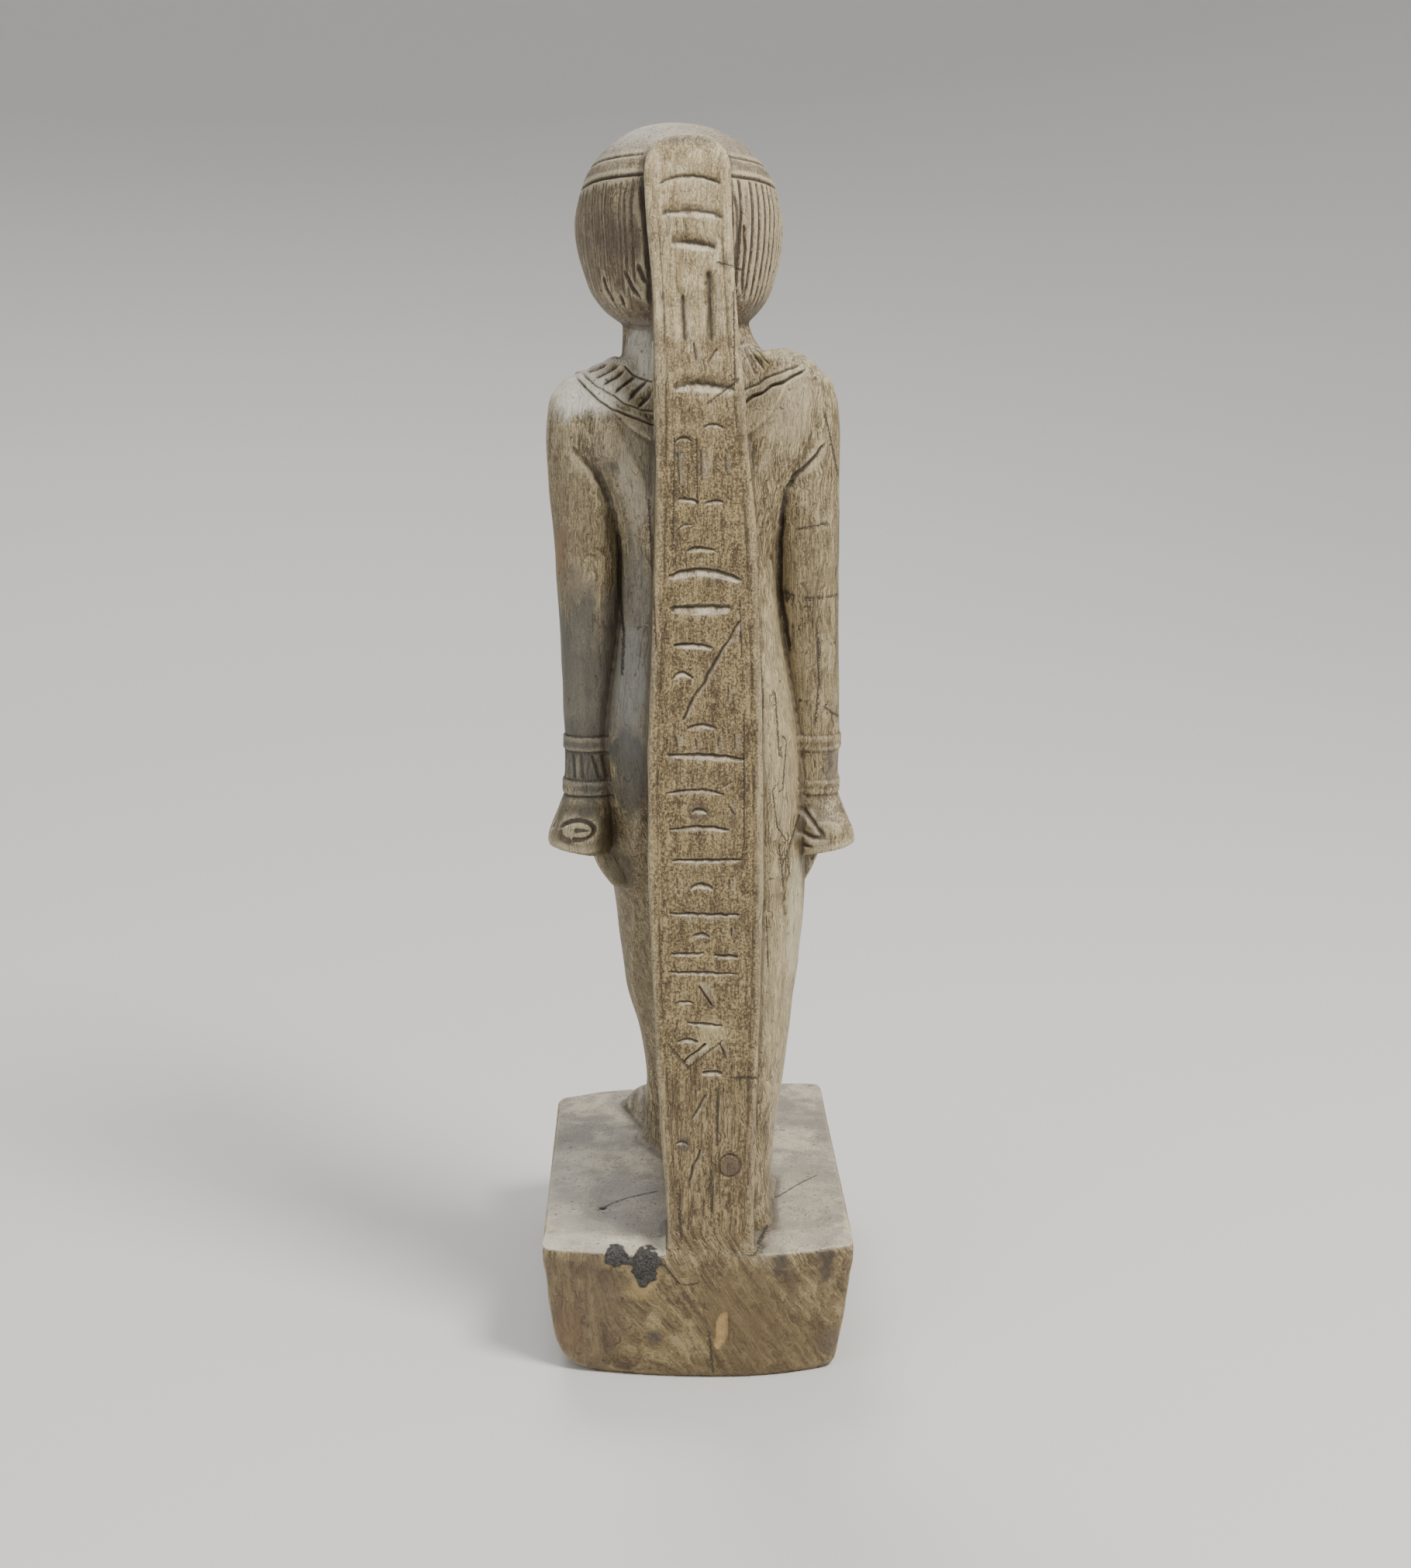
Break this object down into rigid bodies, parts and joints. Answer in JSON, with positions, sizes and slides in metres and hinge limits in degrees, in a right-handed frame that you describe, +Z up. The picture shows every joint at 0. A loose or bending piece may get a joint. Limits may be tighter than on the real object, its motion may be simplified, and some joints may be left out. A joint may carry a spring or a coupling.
{
  "type": "statuette",
  "caption": "Carved wooden statuette of a striding priestess in a round wig, with a back pillar and a block base, all cut from one piece of wood",
  "frame": {"origin": "middle of the underside of the base block", "axes": "+Z up, the figure faces -Y, the back pillar is on the +Y side, her left arm is on the +X side"},
  "size_m": [0.0776, 0.115, 0.3046],
  "materials": {
    "carved_wood": "old dry carved wood, olive brown, with grey patina, dark grime in the cuts and pale worn edges"
  },
  "bodies": {
    "root": {"priestess_statue": "carved_wood"}
  },
  "joints": []
}
